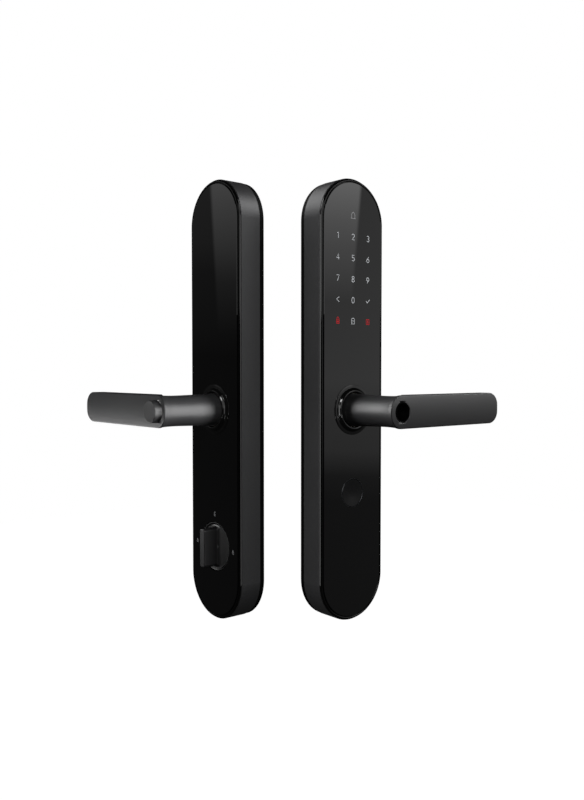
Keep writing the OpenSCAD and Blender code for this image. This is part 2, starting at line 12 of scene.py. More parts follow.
import bmesh
import bpy
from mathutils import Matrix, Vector

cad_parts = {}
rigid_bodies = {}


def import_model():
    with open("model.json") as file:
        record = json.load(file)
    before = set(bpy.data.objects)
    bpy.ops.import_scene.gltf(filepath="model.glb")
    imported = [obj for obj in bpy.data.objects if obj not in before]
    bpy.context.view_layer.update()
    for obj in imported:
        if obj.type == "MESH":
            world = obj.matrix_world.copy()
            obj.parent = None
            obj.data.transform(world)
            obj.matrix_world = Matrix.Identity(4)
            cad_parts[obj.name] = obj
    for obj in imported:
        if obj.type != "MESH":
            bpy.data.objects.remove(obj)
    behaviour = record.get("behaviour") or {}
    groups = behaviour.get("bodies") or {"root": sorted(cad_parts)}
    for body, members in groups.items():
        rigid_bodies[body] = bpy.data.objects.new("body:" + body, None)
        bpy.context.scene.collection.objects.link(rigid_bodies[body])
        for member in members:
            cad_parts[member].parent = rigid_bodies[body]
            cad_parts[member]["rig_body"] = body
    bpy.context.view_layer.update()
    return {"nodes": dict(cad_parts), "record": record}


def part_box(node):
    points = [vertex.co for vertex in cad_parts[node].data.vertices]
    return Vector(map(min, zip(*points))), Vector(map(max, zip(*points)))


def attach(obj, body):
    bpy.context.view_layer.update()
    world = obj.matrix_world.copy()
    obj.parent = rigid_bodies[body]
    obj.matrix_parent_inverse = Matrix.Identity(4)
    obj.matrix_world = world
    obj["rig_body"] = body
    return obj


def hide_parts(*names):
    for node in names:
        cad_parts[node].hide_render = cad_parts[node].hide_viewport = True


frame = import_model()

# %% [markdown]
# ## The camera
# A camera is a place, a direction and a lens. This one stands to the left of the keypad unit,
# a little above its handle, and looks slightly down across both units. The Standard view
# adds no tone curve of its own.

# %% Camera
mm = 0.001
CAMERA_PLACE = Vector((-0.4704, -0.5100, 0.0324))
CAMERA_TURN = math.radians(39.92)
CAMERA_DIP = math.radians(2.08)
camera_angles = (math.radians(90) - CAMERA_DIP, 0, -CAMERA_TURN)
bpy.ops.object.camera_add(location=CAMERA_PLACE, rotation=camera_angles)
camera = bpy.context.object
camera.data.lens = 37.22
camera.data.sensor_width = 36
camera.data.clip_start = 0.02
bpy.context.scene.camera = camera
bpy.context.scene.view_settings.view_transform = "Standard"
print("camera at", tuple(round(side, 3) for side in camera.location))

# %% [markdown]
# ## Sizes taken from the frame
# Heights here are measured out from the door face, so a height is minus y in the frame. Each
# size is read from a CAD piece, so the looks follow the CAD if it changes.

# %% Sizes
def back_of(node):
    """Height of a piece's back above the door face, in mm, in the outside unit."""
    return -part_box(node)[1].y / mm


def front_of(node):
    """Height of a piece's front above the door face, in mm, in the outside unit."""
    return -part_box(node)[0].y / mm


def half_across(node):
    """Half the width of a piece, in mm."""
    low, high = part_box(node)
    return (high.x - low.x) / 2 / mm


unit_half = half_across("outside_band")
unit_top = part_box("outside_band")[1].z / mm
unit_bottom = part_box("outside_band")[0].z / mm
low_centre = unit_bottom + unit_half
straight = unit_top - unit_bottom - 2 * unit_half
glass_front = front_of("outside_glass")
glass_back = back_of("outside_glass")
handle_front = front_of("outside_handle")
handle_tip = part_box("outside_handle")[1].x / mm
handle_half = 13
print("unit", 2 * unit_half, "x", unit_top - unit_bottom, "glass front", glass_front)

# %% [markdown]
# ## Working on one piece at a time
# An operator acts on whatever is selected, so each step first says exactly what that is:
# first the piece, then the faces, edges or points that pass a test on their place or facing.

# %% Selecting
def take(*pieces):
    """Leaves edit mode and selects only these pieces; the last is the active one."""
    if bpy.context.object and bpy.context.object.mode != "OBJECT":
        bpy.ops.object.mode_set(mode="OBJECT")
    bpy.ops.object.select_all(action="DESELECT")
    for piece in pieces:
        piece.select_set(True)
        bpy.context.view_layer.objects.active = piece


def pick(piece, kind, test):
    """Edit mode with only those faces, edges or points selected that pass the test."""
    take(piece)
    bpy.ops.object.mode_set(mode="EDIT")
    bpy.ops.mesh.select_mode(type=kind)
    bpy.ops.mesh.select_all(action="DESELECT")
    shape = bmesh.from_edit_mesh(piece.data)
    group = {"VERT": shape.verts, "EDGE": shape.edges, "FACE": shape.faces}[kind]
    for part in group:
        if test(part):
            part.select_set(True)
    shape.select_flush_mode()
    bmesh.update_edit_mesh(piece.data)


def settle(piece, name):
    """Moves the piece's place and turn into its mesh and gives it its name."""
    take(piece)
    bpy.ops.object.transform_apply(location=True, rotation=True, scale=True)
    piece.name = piece.data.name = name
    return piece


def whole(part):
    """A test that every part passes."""
    return True


def close(piece):
    """Merges doubled points and turns every face outwards."""
    pick(piece, "VERT", whole)
    bpy.ops.mesh.remove_doubles(threshold=0.002 * mm)
    bpy.ops.mesh.normals_make_consistent(inside=False)
    bpy.ops.object.mode_set(mode="OBJECT")


# %% [markdown]
# ## Rounding edges
# No edge on a made thing is perfectly sharp, and the narrow band of light along an edge tells
# the eye what the thing is made of. A Bevel modifier rounds every edge sharper than an angle.
# A Weighted Normal modifier then keeps the large faces looking flat beside the new rounds.

# %% Edges and modifiers
def apply(piece, kind, **settings):
    """Adds a modifier with its settings and applies it."""
    take(piece)
    change = piece.modifiers.new(kind.lower(), kind)
    for name, value in settings.items():
        setattr(change, name, value)
    bpy.ops.object.modifier_apply(modifier=change.name)


def soften(piece, radius, segments=2, angle=30):
    """Rounds the piece's sharp edges to a radius in mm and shades it."""
    if radius:
        apply(piece, "BEVEL", width=radius * mm, segments=segments, limit_method="ANGLE",
              angle_limit=math.radians(angle), use_clamp_overlap=True)
    take(piece)
    bpy.ops.object.shade_smooth_by_angle(angle=math.radians(angle))
    apply(piece, "WEIGHTED_NORMAL", keep_sharp=True)
    return piece


# %% [markdown]
# ## Blocks with the unit's outline
# The unit's outline is a long slot with round ends. It could be drawn as a curve, but a
# cylinder is quicker: the points of its upper half move up by the straight length, and its
# side faces stretch with them. With 126 sides a point lies exactly at the top and the bottom
# and none at mid-height, so the stretched sides stay parallel.

# %% Unit blocks
ROUND_SIDES = 126


def unit_block(name, inset, back, front):
    """A block with the unit's outline, this far inside it, between two heights, in mm."""
    bpy.ops.object.select_all(action="DESELECT")
    bpy.ops.mesh.primitive_cylinder_add(
        vertices=ROUND_SIDES, radius=(unit_half - inset) * mm, depth=(front - back) * mm,
        location=(0, -(back + front) / 2 * mm, low_centre * mm), rotation=(math.pi / 2, 0, 0))
    block = settle(bpy.context.object, name)
    pick(block, "VERT", lambda point: point.co.z > low_centre * mm)
    bpy.ops.transform.translate(value=(0, 0, straight * mm))
    bpy.ops.object.mode_set(mode="OBJECT")
    return block


def pick_front(block):
    """Selects the block's foremost face."""
    foremost = min(corner.co.y for corner in block.data.vertices)
    pick(block, "FACE", lambda face: face.normal.y < -0.99
         and face.calc_center_median().y < foremost + 0.01 * mm)


def pick_back(block):
    """Selects the block's rearmost face."""
    rearmost = max(corner.co.y for corner in block.data.vertices)
    pick(block, "FACE", lambda face: face.normal.y > 0.99
         and face.calc_center_median().y > rearmost - 0.01 * mm)


def step(inwards, outwards):
    """Insets the selected face and moves it along its own facing, in mm."""
    bpy.ops.mesh.inset(thickness=max(inwards, 0.0005) * mm, depth=outwards * mm)


def open_middle(block, inset, depth_range):
    """Joins the two inner faces of a block, which opens it from front to back."""
    limit = (unit_half - inset + 0.2) * mm
    pick(block, "FACE", lambda face: abs(face.normal.y) > 0.99
         and all(abs(corner.co.x) < limit for corner in face.verts)
         and depth_range[0] * mm - 1e-6 < -face.calc_center_median().y
         < depth_range[1] * mm + 1e-6)
    bpy.ops.mesh.bridge_edge_loops()
    bpy.ops.object.mode_set(mode="OBJECT")


# %% [markdown]
# ## Pieces turned on a lathe
# Round pieces are made as on a lathe: one half of the section is drawn as a line of points,
# each extruded from the last, and the line is spun round the axis.

# %% Lathe
def drawn_line(name, points, closed):
    """A line of edges through these points, given in mm as x, height above the door, z."""
    corners = [Vector((x, -height, z)) * mm for x, height, z in points]
    bpy.ops.object.select_all(action="DESELECT")
    bpy.ops.mesh.primitive_plane_add(size=mm, location=corners[0])
    line = settle(bpy.context.object, name)
    pick(line, "VERT", whole)
    bpy.ops.mesh.merge(type="CENTER")
    for start, end in zip(corners, corners[1:]):
        bpy.ops.mesh.extrude_region_move(TRANSFORM_OT_translate={"value": end - start})
    if closed:
        ends = (corners[0], corners[-1])
        pick(line, "VERT", lambda point: any((point.co - end).length < 1e-7 for end in ends))
        bpy.ops.mesh.edge_face_add()
    bpy.ops.object.mode_set(mode="OBJECT")
    return line


def turned(name, profile, centre=(0, 0), closed=False, edge=0.0, sides=96):
    """Spins a profile of (radius, height) points in mm round a line out of the door."""
    points = [(centre[0] + radius, height, centre[1]) for radius, height in profile]
    piece = drawn_line(name, points, closed)
    axis = Vector((centre[0], 0, centre[1])) * mm
    if edge:
        pick(piece, "VERT", lambda point: len(point.link_edges) == 2)
        bpy.ops.mesh.bevel(offset=edge * mm, segments=3, affect="VERTICES")
    pick(piece, "VERT", whole)
    bpy.ops.mesh.spin(steps=sides, angle=math.tau, center=axis, axis=(0, 1, 0))
    bpy.ops.object.mode_set(mode="OBJECT")
    close(piece)
    return soften(piece, 0)


# %% [markdown]
# ## Cutting and joining
# A hole is cut by taking a cylinder away with a Boolean modifier, and two bodies become one
# with the same modifier set to Union. The cutter is deleted afterwards.

# %% Cut and join
def combine(piece, other, operation):
    """Cuts the other piece from this one, or joins it on, and deletes it."""
    apply(piece, "BOOLEAN", object=other, operation=operation, solver="MANIFOLD")
    bpy.data.objects.remove(other)
    return piece


def drill(piece, radius, back, front, centre=(0, 0), mouth=0.0):
    """Drills a hole into the unit from its front down to a height, in mm, with a chamfer."""
    top = front - mouth if mouth else front + 1
    bpy.ops.object.select_all(action="DESELECT")
    bpy.ops.mesh.primitive_cylinder_add(
        vertices=96, radius=radius * mm, depth=(top - back) * mm,
        location=(centre[0] * mm, -(back + top) / 2 * mm, centre[1] * mm),
        rotation=(math.pi / 2, 0, 0))
    bit = settle(bpy.context.object, "drill")
    if mouth:
        pick_front(bit)
        bpy.ops.mesh.extrude_region_move(
            TRANSFORM_OT_translate={"value": (0, -(mouth + 1) * mm, 0)})
        wider = (radius + mouth + 1) / radius
        bpy.ops.transform.resize(value=(wider, 1, wider), center_override=(
            centre[0] * mm, 0, centre[1] * mm))
        bpy.ops.object.mode_set(mode="OBJECT")
    return combine(piece, bit, "DIFFERENCE")


def box_block(name, x_range, height_range, z_range):
    """A plain block between these limits in mm, to be shaped further."""
    sides = [x_range, [-height for height in height_range], z_range]
    bpy.ops.object.select_all(action="DESELECT")
    bpy.ops.mesh.primitive_cube_add(
        size=1, location=[sum(side) / 2 * mm for side in sides],
        scale=[abs(side[1] - side[0]) * mm for side in sides])
    return settle(bpy.context.object, name)


# %% [markdown]
# ## Standing a piece in the inside unit
# Both units are the same shape, so a piece is made in the outside unit and a copy is turned a
# quarter turn and moved to the inside unit. Each copy has its own mesh.

# %% Copies for the inside unit
inside_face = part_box("inside_gasket")[1].x
inside_middle = sum(side.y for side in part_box("inside_band")) / 2


def copied(piece, name):
    """A copy with its own mesh."""
    take(piece)
    bpy.ops.object.duplicate()
    return settle(bpy.context.object, name)


def stand_inside(piece):
    """Moves a piece made in the outside unit to its place in the inside unit."""
    piece.rotation_euler = (0, 0, -math.pi / 2)
    piece.location = (inside_face, inside_middle, 0)
    return settle(piece, piece.name)


def fit(piece, *nodes):
    """The piece rides on the body of the first CAD piece and takes the place of all of them,
    which are hidden.
    """
    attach(piece, frame["nodes"][nodes[0]]["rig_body"])
    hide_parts(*nodes)
    return piece


print("inside unit stands at", round(inside_face, 4), round(inside_middle, 4))

# %% [markdown]
# ## Colours and nodes
# Colours are written as sRGB hex values, as a paint chart gives them, and Blender works in
# linear light, so one function turns the first into the second. Another function adds any
# node, with its settings and its links, so a material reads as a short recipe.

# %% Paint chart and node helper
def paint(chart):
    """An sRGB hex value as linear red, green, blue and alpha."""
    shares = [int(chart[place:place + 2], 16) / 255 for place in (1, 3, 5)]
    return [share / 12.92 if share <= 0.04045 else ((share + 0.055) / 1.055) ** 2.4
            for share in shares] + [1.0]


def add(material, kind, sockets=None, **settings):
    """Adds a node; each socket takes a plain value or another node's output."""
    node = material.node_tree.nodes.new("ShaderNode" + kind)
    for name, value in settings.items():
        setattr(node, name, value)
    for name, value in (sockets or {}).items():
        if isinstance(value, bpy.types.NodeSocket):
            material.node_tree.links.new(value, node.inputs[name])
        else:
            node.inputs[name].default_value = value
    return node


# %% [markdown]
# ## One recipe for most finishes
# A moulded, cast or plated surface has a fine grain that changes its colour, its gloss and
# its height together, and slow clouds of wear where hands and cloths have passed. The recipe
# takes two colours, two roughness values, the size of the grain in mm and its depth in mm.
# The grain can be stretched along one direction, which makes it a brushed or drawn surface.

# %% Surface recipe
def surface(name, dark, light, gloss, metallic=0.0, ior=1.5, grain=1.0, depth=0.0,
            stretch=(1, 1, 1), specular=0.5):
    """A finish whose colour, gloss and height follow one grain."""
    material = bpy.data.materials.new(name)
    material.use_nodes = True
    shader = material.node_tree.nodes["Principled BSDF"]
    shader.inputs["Metallic"].default_value = metallic
    shader.inputs["Specular IOR Level"].default_value = specular
    if not metallic:
        shader.inputs["IOR"].default_value = ior
    place = add(material, "TexCoord").outputs["Object"]
    along = add(material, "Mapping", {"Vector": place, "Scale": stretch}).outputs["Vector"]
    fine = add(material, "TexNoise", {"Vector": along, "Scale": 1 / (grain * mm),
                                      "Detail": 3.0}).outputs["Fac"]
    wear = add(material, "TexNoise", {"Vector": place, "Scale": 18.0,
                                      "Detail": 2.0}).outputs["Fac"]
    both = add(material, "Math", {0: fine, 1: wear}, operation="MULTIPLY").outputs["Value"]
    share = add(material, "MapRange", {"Value": both, "From Min": 0.08,
                                       "From Max": 0.42}).outputs["Result"]
    tint = add(material, "ValToRGB", {"Fac": share})
    tint.color_ramp.elements[0].color = paint(dark)
    tint.color_ramp.elements[1].color = paint(light)
    rough = add(material, "MapRange", {"Value": share, "To Min": gloss[0],
                                       "To Max": gloss[1]}).outputs["Result"]
    link = material.node_tree.links.new
    link(tint.outputs["Color"], shader.inputs["Base Color"])
    link(rough, shader.inputs["Roughness"])
    if depth:
        relief = add(material, "Bump", {"Height": fine, "Strength": 1.0,
                                        "Distance": depth * mm})
        link(relief.outputs["Normal"], shader.inputs["Normal"])
    return material


# %% [markdown]
# ## The finishes of this lock
# The slots in the CAD record say what each piece is made of. Each finish below starts from
# the real one, and the comment beside it says what that gives the eye.

# %% Finishes
finishes = {
    # tempered glass printed black behind: near black, and every light shows sharp in it
    "black_glass": surface("printed_tempered_glass", "#0a0a0b", "#0c0c0d", (0.01, 0.02),
                           ior=1.5, grain=9),
    # polished black acrylic: as dark as the glass, with slightly softer reflections
    "gloss_black": surface("polished_black_acrylic", "#050505", "#070707", (0.06, 0.12),
                           ior=1.49, grain=4),
    # bead-blasted and anodised aluminium: a soft grey sheen that runs along the band
    "grey_band": surface("anodised_aluminium", "#333334", "#3a3a3b", (0.42, 0.48),
                         metallic=0.4, grain=0.8, depth=0.004),
    # satin powder coat on cast zinc: dark grey, with a broad soft highlight
    "handle_coating": surface("satin_powder_coat", "#29292a", "#2f2f30", (0.44, 0.5),
                              ior=1.5, grain=0.6, depth=0.006),
    "turn_grey": surface("satin_coated_zinc", "#1b1b1c", "#202021", (0.36, 0.42),
                         ior=1.5, grain=0.6, depth=0.005),
    # spark-eroded ABS: fine pits that break the reflection up, so it looks dull black
    "black_abs": surface("moulded_black_abs", "#020202", "#030303", (0.6, 0.7),
                         grain=0.9, depth=0.02, specular=0.06),
    # glass-filled nylon: grey flecks on black
    "chassis_plastic": surface("glass_filled_nylon", "#1c1c1d", "#2a2a2b", (0.5, 0.62),
                               grain=0.7, depth=0.01),
    # moulded rubber seal: dull, with a dusty bloom
    "seal_rubber": surface("moulded_rubber", "#0c0c0c", "#161616", (0.75, 0.9),
                           ior=1.52, grain=1.2, depth=0.02),
    # zinc-plated steel: pale grey with the faint cloud of the plating
    "plated_steel": surface("zinc_plated_steel", "#9a9da0", "#b4b7ba", (0.3, 0.42),
                            metallic=1.0, grain=3, depth=0.004),
    "screw_steel": surface("zinc_plated_screw", "#85888b", "#a0a3a6", (0.28, 0.4),
                           metallic=1.0, grain=1.5, depth=0.004),
    "socket_steel": surface("stamped_tinned_steel", "#b0b2b5", "#c4c6c9", (0.22, 0.3),
                            metallic=1.0, grain=2, depth=0.003),
    # drawn steel: fine lines along its length
    "motor_steel": surface("drawn_steel_can", "#8f9294", "#a7aaac", (0.25, 0.38),
                           metallic=1.0, grain=0.8, depth=0.003, stretch=(1, 1, 0.06)),
    "spring_steel": surface("drawn_spring_wire", "#93979b", "#aeb2b6", (0.22, 0.32),
                            metallic=1.0, grain=0.6, depth=0.003),
    # sintered steel: dark pores between pale grains
    "hub_steel": surface("sintered_steel", "#6d6f71", "#96989a", (0.35, 0.5),
                         metallic=1.0, grain=0.7, depth=0.012),
    # turned brass: a warm yellow, dulled where it has been handled
    "lock_brass": surface("turned_brass", "#a8863e", "#c6a456", (0.22, 0.36),
                          metallic=1.0, grain=1.2, depth=0.003),
    # brass with a dull black oxide: it swallows the light, so the keyhole looks empty
    "cylinder_black": surface("black_oxide_brass", "#040404", "#070707", (0.7, 0.8),
                              grain=1.5, depth=0.004, specular=0.04),
    "contact_nickel": surface("nickel_plated_brass", "#bdb9ae", "#d2cec3", (0.12, 0.22),
                              metallic=1.0, grain=2, depth=0.002),
    "ring_grey": surface("anodised_ring", "#55565a", "#606165", (0.3, 0.4),
                         metallic=1.0, grain=0.8, depth=0.003),
    # coated sensor window: black, and a little duller than the glass round it
    "sensor_black": surface("coated_sensor_window", "#08080a", "#0b0b0d", (0.12, 0.2),
                            ior=1.5, grain=3),
    # unfilled nylon: off-white and waxy
    "natural_nylon": surface("natural_nylon", "#d8d2bf", "#e4dfcd", (0.4, 0.5),
                             ior=1.53, grain=2, depth=0.005),
    # solder mask over copper: dark green with lighter patches over the tracks
    "circuit_board": surface("green_solder_mask", "#0b3a22", "#17603a", (0.3, 0.45),
                             ior=1.55, grain=2.5, depth=0.02),
    "light_guide_white": surface("white_acetal", "#e2e2dd", "#eeeeea", (0.35, 0.45),
                                 ior=1.48, grain=2, depth=0.004),
    # printed sleeve of a cell: a plain green band with a slight orange peel
    "cell_jacket": surface("printed_cell_sleeve", "#2f5f45", "#3c7455", (0.25, 0.35),
                           ior=1.5, grain=2, depth=0.004),
}
for row in frame["record"]["subparts"]:
    node = frame["nodes"][row["node"]]
    node.data.materials.clear()
    node.data.materials.append(finishes[row["material_slot"]])
print(len(finishes), "finishes on", len(frame["nodes"]), "CAD pieces")


def dress(piece, material):
    """Gives the whole piece one finish."""
    piece.data.materials.clear()
    piece.data.materials.append(material)
    return piece


# %% [markdown]
# ## The metal band
# The band is an aluminium ring that runs round each unit. Its front edge is cut to a narrow
# chamfer, which catches the light as a bright line. It is a unit block whose front face is
# stepped inwards twice, once for the chamfer and once for the flat land, and then opened.

# %% Bands
BAND_WALL = 2.5
BAND_CHAMFER = 0.55
band_front = front_of("outside_band")
band_back = back_of("outside_band")
band = unit_block("outside_band_ring", 0, band_back, band_front - BAND_CHAMFER)
pick_front(band)
step(BAND_CHAMFER, BAND_CHAMFER)
step(BAND_WALL - BAND_CHAMFER, 0)
pick_back(band)
step(BAND_WALL, 0)
open_middle(band, BAND_WALL, (band_back, band_front))
close(band)
soften(band, 0.08)
dress(band, finishes["grey_band"])
fit(stand_inside(copied(band, "inside_band_ring")), "inside_band")
fit(band, "outside_band")
print("band", len(band.data.polygons), "faces")

# %% [markdown]
# ## The bezel
# Between the band and the glass runs a gloss black frame. Its front is a low rounded bead, so
# it shows as a black border with one thin light line along its crown, instead of mirroring
# the room as a flat edge would. The block is stepped up one side of the bead, over it, and
# down into the pocket that holds the glass. Its back is stepped down into the band.

# %% Bezels
bezel_front = front_of("outside_bezel")
bezel_back = back_of("outside_bezel")
BEZEL_IN = 0.5
GLASS_IN = 3.35
POCKET_IN = 3.2
LEDGE_IN = 5.95
BEAD = [(0.25, 0.45), (0.3, 0.34), (0.35, 0.24), (0.4, 0.12), (0.35, 0.0), (0.35, -0.12),
        (0.3, -0.26), (0.25, -0.4)]
bead_foot = bezel_front - sum(rise for _, rise in BEAD if rise > 0)
bezel = unit_block("outside_bezel_frame", BEZEL_IN, band_front - 0.1, bead_foot)
pick_front(bezel)
for inwards, outwards in BEAD:
    step(inwards, outwards)
step(POCKET_IN - BEZEL_IN - sum(inwards for inwards, _ in BEAD), 0)
step(0, glass_back - bead_foot - sum(rise for _, rise in BEAD))
step(LEDGE_IN - POCKET_IN, 0)
pick_back(bezel)
step(2.65 - BEZEL_IN, 0)
step(0, band_front - 0.1 - bezel_back)
step(LEDGE_IN - 2.65, 0)
open_middle(bezel, LEDGE_IN, (bezel_back, glass_back))
close(bezel)
soften(bezel, 0, angle=40)
dress(bezel, finishes["gloss_black"])
fit(stand_inside(copied(bezel, "inside_bezel_frame")), "inside_bezel")
fit(bezel, "outside_bezel")
print("bezel", len(bezel.data.polygons), "faces")

# %% [markdown]
# ## The glass
# The front of each unit is tempered glass with a ground and polished edge. The narrow ground
# edge matters: it is what draws a thin light line round the glass. The holes for the handle,
# the reader and the thumb turn are drilled afterwards, as in the factory.

# %% Glass panels
GROUND_EDGE = 0.3
reader_low, reader_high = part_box("fingerprint_ring")
reader_z = (reader_low.z + reader_high.z) / 2 / mm
reader_half = half_across("fingerprint_ring")
turn_low, turn_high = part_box("thumb_turn_disc")
turn_z = (turn_low.z + turn_high.z) / 2 / mm
turn_half = (turn_high.z - turn_low.z) / 2 / mm
ring_seat = 17.9
glass = unit_block("outside_glass_panel", GLASS_IN, glass_back, glass_front - GROUND_EDGE)
pick_front(glass)
step(GROUND_EDGE, GROUND_EDGE)
bpy.ops.object.mode_set(mode="OBJECT")
drill(glass, ring_seat + 0.13, glass_back - 1, glass_front)
panel = copied(glass, "inside_glass_panel")
drill(glass, reader_half + 0.05, glass_back - 1, glass_front, (0, reader_z))
drill(panel, turn_half + 0.4, glass_back - 1, glass_front, (0, turn_z))
for plate in (glass, panel):
    soften(plate, 0)
    dress(plate, finishes["black_glass"])
fit(glass, "outside_glass")
fit(stand_inside(panel), "inside_panel")
print("glass", len(glass.data.polygons), "faces")

# %% [markdown]
# ## The ring round the neck
# A dished gloss black ring hides the hole that the handle's neck turns in. Its section has a
# flat rim, a slope and a rounded lip close to the neck, so it is turned on the lathe.

# %% Handle rings
ring_half = half_across("outside_handle_ring")
ring_top = front_of("outside_handle_ring")
ring_profile = [
    (13.9, glass_back), (ring_seat - 0.02, glass_back), (ring_seat - 0.02, glass_front),
    (ring_half, glass_front), (ring_half, glass_front + 0.35), (19.3, glass_front + 0.55),
    (17.9, glass_front + 0.7), (17.0, glass_front + 1.3), (16.5, glass_front + 2.3),
    (15.9, ring_top - 0.12), (15.3, ring_top), (14.6, ring_top - 0.15),
    (14.1, ring_top - 0.7), (13.9, ring_top - 1.4)]
ring = turned("outside_neck_ring", ring_profile, closed=True, edge=0.15, sides=120)
dress(ring, finishes["gloss_black"])
fit(stand_inside(copied(ring, "inside_neck_ring")), "inside_handle_ring")
fit(ring, "outside_handle_ring")
print("ring", len(ring.data.polygons), "faces")

# %% [markdown]
# ## The lever handles
# Each handle is one zinc casting. The bar starts as a block whose tip corners and head are
# bevelled round. Its front is cut into a grid of small faces, and its edges are rounded. A
# Displace modifier then presses the front back by the square of the distance from its middle
# line, which crowns it, so that light falls off softly across it as it does on the real one.

# %% Bar of the handle
BAR_THICK = 13
HEAD_THICK = 3.2
FACE_ROUND = 0.7
CROWN = 1.1
bar_back = handle_front - BAR_THICK
bar = box_block("outside_lever", (-handle_half, handle_tip), (bar_back, handle_front),
                (-handle_half, handle_half))


def out_of_door(edge):
    """True for an edge that points straight out of the door."""
    start, end = (corner.co for corner in edge.verts)
    return abs(start.x - end.x) < 1e-6 and abs(start.z - end.z) < 1e-6


def sharp_at(edge, height, slack=0.02):
    """True for a sharp edge that lies at this height above the door."""
    level = all(abs(-corner.co.y / mm - height) < slack for corner in edge.verts)
    return level and edge.calc_face_angle(0) > 0.5


pick(bar, "EDGE", lambda edge: out_of_door(edge) and edge.verts[0].co.x > 0)
bpy.ops.mesh.bevel(offset=9.5 * mm, segments=14, affect="EDGES")
pick(bar, "EDGE", lambda edge: out_of_door(edge) and edge.verts[0].co.x < -12.9 * mm)
bpy.ops.mesh.bevel(offset=(handle_half - 0.01) * mm, segments=28, affect="EDGES")
pick(bar, "VERT", whole)
bpy.ops.mesh.remove_doubles(threshold=0.05 * mm)
pick(bar, "EDGE", lambda edge: sharp_at(edge, handle_front))
bpy.ops.mesh.bevel(offset=FACE_ROUND * mm, segments=4, affect="EDGES")
pick(bar, "EDGE", lambda edge: sharp_at(edge, bar_back))
bpy.ops.mesh.bevel(offset=1.6 * mm, segments=4, affect="EDGES")
for row in range(-11, 12, 2):
    pick(bar, "FACE", whole)
    bpy.ops.mesh.bisect(plane_co=(0, 0, row * mm), plane_no=(0, 0, 1))
columns_cut = list(range(-11, 16, 2)) + [22, 34, 50, 66, 82, 98]
columns_cut += [handle_tip - away for away in (12, 9, 7, 5, 3, 1.5)]
for column in columns_cut:
    pick(bar, "FACE", whole)
    bpy.ops.mesh.bisect(plane_co=(column * mm, 0, 0), plane_no=(1, 0, 0))
bpy.ops.object.mode_set(mode="OBJECT")
face_rows = bar.vertex_groups.new(name="face_rows")
for corner in bar.data.vertices:
    if -corner.co.y / mm > handle_front - FACE_ROUND - 0.1:
        face_rows.add([corner.index], (corner.co.z / mm / handle_half) ** 2, "REPLACE")
apply(bar, "DISPLACE", direction="Y", strength=CROWN * mm, mid_level=0.0,
      vertex_group="face_rows")
print("bar", len(bar.data.polygons), "faces")

# %% [markdown]
# The head is round and thin: behind it the neck runs straight into the face. So the back of
# the head is cut away, the bar is narrowed where it meets the neck, and the neck, turned on
# the lathe with its gentle waist, is joined on.

# %% Neck of the handle
hub_front = back_of("outside_handle")
neck_half = 13.2
waist = [
    (0, hub_front), (neck_half, hub_front), (neck_half, hub_front + 1.85),
    (12.2, hub_front + 1.85), (12.2, hub_front + 2.95), (neck_half, hub_front + 2.95),
    (neck_half, glass_front + 3), (13.0, glass_front + 9), (12.65, glass_front + 17),
    (12.38, glass_front + 26), (12.2, glass_front + 34), (12.15, handle_front - 15),
    (12.2, handle_front - 11), (12.32, handle_front - 8), (12.5, handle_front - 5.5),
    (12.72, handle_front - 3.6), (12.9, handle_front - 2.4), (12.9, handle_front - 2.2),
    (0, handle_front - 2.2)]
cutter = box_block("cutter", (-20, 0), (50, handle_front - HEAD_THICK), (-20, 20))
combine(bar, cutter, "DIFFERENCE")
pick(bar, "VERT", lambda point: -0.001 * mm < point.co.x < 9.5 * mm
     and -point.co.y / mm < handle_front - HEAD_THICK + 0.01)
bpy.ops.transform.resize(value=(1, 1, 11.6 / handle_half), center_override=(0, 0, 0))
bpy.ops.object.mode_set(mode="OBJECT")
neck = turned("neck", waist, sides=126)
combine(bar, neck, "UNION")
close(bar)
inside_bar = copied(bar, "inside_lever")
print("casting", len(bar.data.polygons), "faces")

# %% [markdown]
# The two castings now part: the outside one is bored for the key cylinder, and the inside one
# for the safety button. Both bores get a small chamfer, which shows as a thin light line. The
# inside handle points the other way, which is half a turn about its own neck.

# %% Bores
cylinder_half = half_across("key_cylinder")
drill(bar, cylinder_half + 0.05, back_of("key_cylinder"), handle_front, mouth=0.35)
drill(bar, 4, hub_front - 1, back_of("key_cylinder") + 0.1)
button_half = (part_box("safety_button")[1].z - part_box("safety_button")[0].z) / 2 / mm
drill(inside_bar, button_half + 0.1, handle_front - 17, handle_front, mouth=0.3)
drill(inside_bar, 3.1, hub_front - 1, handle_front - 16.9)
inside_bar.rotation_euler = (0, math.pi, 0)
settle(inside_bar, "inside_lever")
for casting in (bar, inside_bar):
    soften(casting, 0)
    dress(casting, finishes["handle_coating"])
fit(bar, "outside_handle")
fit(stand_inside(inside_bar), "inside_handle")
print("outside lever", len(bar.data.polygons), "faces")

# %% [markdown]
# ## Key cylinder and safety button
# Both sit in the heads of the handles. The cylinder's rim is thin and its recess is deep and
# black. The button stands proud, with a low rim round its face, and it is hollow behind, so
# that its spring goes inside it when it is pressed.

